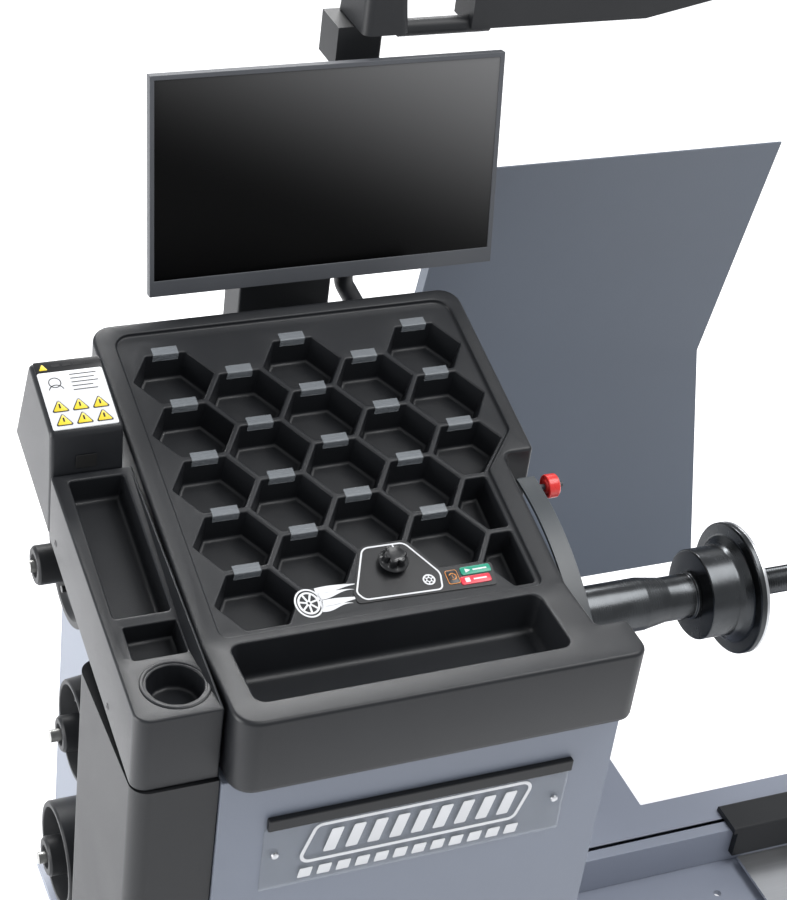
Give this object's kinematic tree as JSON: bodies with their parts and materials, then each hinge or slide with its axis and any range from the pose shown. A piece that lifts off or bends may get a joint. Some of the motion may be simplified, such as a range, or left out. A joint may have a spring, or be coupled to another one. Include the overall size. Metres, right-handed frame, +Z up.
{
  "type": "wheel balancer machine",
  "caption": "Car wheel balancer with a sloped honeycomb weight tray, monitor, threaded spindle with flange, swinging guard, distance gauge, sensor boom and wheel lift.",
  "frame": {"origin": "on the floor, under the middle of the cabinet", "axes": "+X along the spindle towards the wheel, +Y to the back of the machine, +Z up"},
  "size_m": [1.598, 1.119, 1.533],
  "materials": {
    "dark_plastic": "textured",
    "panel_paint": "satin powder coat",
    "guard_paint": "satin powder coat",
    "base_paint": "satin powder coat",
    "black_steel": "polished black oxide",
    "bright_steel": "ground",
    "zinc": "zinc plated",
    "light_plastic": "smooth",
    "red_plastic": "gloss",
    "green_plastic": "gloss",
    "orange_print": "gloss",
    "monitor_plastic": "fine grain",
    "screen_glass": "gloss",
    "clear_plastic": "clear",
    "rubber": "matte",
    "circuit": "matte",
    "motor_paint": "painted"
  },
  "bodies": {
    "machine": {"base_plate": "base_paint", "base_frame": "base_paint", "cabinet_left_wall": "panel_paint", "cabinet_right_wall": "panel_paint", "cabinet_top_plate": "panel_paint", "cabinet_rear_panel": "panel_paint", "front_panel": "panel_paint", "left_column_cover": "dark_plastic", "placard": "clear_plastic", "placard_strip": "dark_plastic", "weight_tray": "dark_plastic", "cell_grid": "dark_plastic", "cell_tags": "clear_plastic", "keypad_overlay": "dark_plastic", "left_console": "dark_plastic", "notice_box": "dark_plastic", "bearing_housing": "motor_paint", "housing_bolts": "zinc", "bearing_outer_rings": "bright_steel", "encoder_reader": "dark_plastic", "drive_motor": "motor_paint", "drive_belt": "rubber", "control_board": "circuit", "power_supply": "zinc", "force_sensors": "bright_steel", "power_inlet": "dark_plastic", "gauge_guides": "motor_paint", "pedestal": "dark_plastic", "mast_tube": "dark_plastic", "accessory_pegs": "zinc"},
    "spindle": {"bearing_inner_rings": "bright_steel", "spindle_shaft": "black_steel", "spindle_flange": "black_steel", "spindle_pulley": "zinc", "encoder_disc": "bright_steel"},
    "motor_rotor": {"motor_pulley": "zinc"},
    "start_key": {"start_key": "green_plastic"},
    "stop_key": {"stop_key": "red_plastic"},
    "brake_key": {"brake_key": "orange_print"},
    "dial_shaft": {"knob_shaft": "bright_steel"},
    "dial": {"control_knob": "dark_plastic"},
    "gauge_rod": {"gauge_rod": "bright_steel"},
    "gauge_arm": {"gauge_arm": "light_plastic", "gauge_knob": "red_plastic"},
    "guard": {"guard_arm": "guard_paint", "guard_panel": "guard_paint"},
    "monitor": {"monitor_bezel": "monitor_plastic", "monitor_screen": "screen_glass", "monitor_shell": "monitor_plastic", "monitor_tilt_plate": "zinc"},
    "boom": {"mast_head": "dark_plastic", "boom_tube": "dark_plastic", "boom_housing": "dark_plastic"},
    "hung_flange": {"hung_flange": "motor_paint"},
    "hung_cup": {"hung_cup": "motor_paint"},
    "hung_sleeve": {"hung_sleeve": "motor_paint"},
    "lift_carriage": {"lift_carriage": "dark_plastic"},
    "lift_platform": {"lift_platform": "bright_steel"},
    "power_rocker": {"power_rocker": "red_plastic"}
  },
  "joints": [
    {"name": "spindle_spin", "type": "hinge", "parent": "machine", "child": "spindle", "pos_m": [0.3, -0.12, 0.827], "axis": [1, 0, 0], "continuous": true},
    {"name": "motor_spin", "type": "hinge", "parent": "machine", "child": "motor_rotor", "pos_m": [0.07, -0.12, 0.62], "axis": [1, 0, 0], "continuous": true},
    {"name": "start_key_press", "type": "slide", "parent": "machine", "child": "start_key", "axis": [0, 0.2453, -0.9694], "range_m": [0, 0.0005], "stiffness_N_per_m": 6000},
    {"name": "stop_key_press", "type": "slide", "parent": "machine", "child": "stop_key", "axis": [0, 0.2453, -0.9694], "range_m": [0, 0.0005], "stiffness_N_per_m": 6000},
    {"name": "brake_key_press", "type": "slide", "parent": "machine", "child": "brake_key", "axis": [0, 0.2453, -0.9694], "range_m": [0, 0.0005], "stiffness_N_per_m": 6000},
    {"name": "dial_push", "type": "slide", "parent": "machine", "child": "dial_shaft", "axis": [0, 0.2453, -0.9694], "range_m": [0, 0.0015], "stiffness_N_per_m": 3000},
    {"name": "dial_turn", "type": "hinge", "parent": "dial_shaft", "child": "dial", "pos_m": [0.017, -0.16275, 1.01889], "axis": [0, -0.2453, 0.9694], "continuous": true},
    {"name": "gauge_slide", "type": "slide", "parent": "machine", "child": "gauge_rod", "axis": [1, 0, 0], "range_m": [0, 0.22]},
    {"name": "gauge_swing", "type": "hinge", "parent": "gauge_rod", "child": "gauge_arm", "pos_m": [0.262, -0.3, 0.905], "axis": [1, 0, 0], "range_deg": [0, 40]},
    {"name": "guard_swing", "type": "hinge", "parent": "machine", "child": "guard", "pos_m": [0.3, 0.018, 0.55], "axis": [1, 0, 0], "range_deg": [0, 90]},
    {"name": "monitor_tilt", "type": "hinge", "parent": "machine", "child": "monitor", "pos_m": [0.1115, 0.46133, 1.26811], "axis": [1, 0, 0], "range_deg": [-8, 6]},
    {"name": "boom_swing", "type": "hinge", "parent": "machine", "child": "boom", "pos_m": [0.2, 0.505, 1.485], "axis": [0, 0, 1], "range_deg": [0, 80]},
    {"name": "hung_flange_slide", "type": "slide", "parent": "machine", "child": "hung_flange", "axis": [-1, 0, 0], "range_m": [0, 0.075]},
    {"name": "hung_cup_slide", "type": "slide", "parent": "machine", "child": "hung_cup", "axis": [-1, 0, 0], "range_m": [0, 0.08]},
    {"name": "hung_sleeve_slide", "type": "slide", "parent": "machine", "child": "hung_sleeve", "axis": [-1, 0, 0], "range_m": [0, 0.08]},
    {"name": "lift_carriage_slide", "type": "slide", "parent": "machine", "child": "lift_carriage", "axis": [1, 0, 0], "range_m": [-0.26, 0]},
    {"name": "lift_platform_raise", "type": "slide", "parent": "lift_carriage", "child": "lift_platform", "axis": [0, 0, 1], "range_m": [0, 0.4]},
    {"name": "power_rocker_tip", "type": "hinge", "parent": "machine", "child": "power_rocker", "pos_m": [-0.21, 0.365, 0.343], "axis": [1, 0, 0], "range_deg": [0, 12]}
  ],
  "couplings": [
    {"joint": "motor_spin", "follows": "spindle_spin", "ratio": 2}
  ]
}
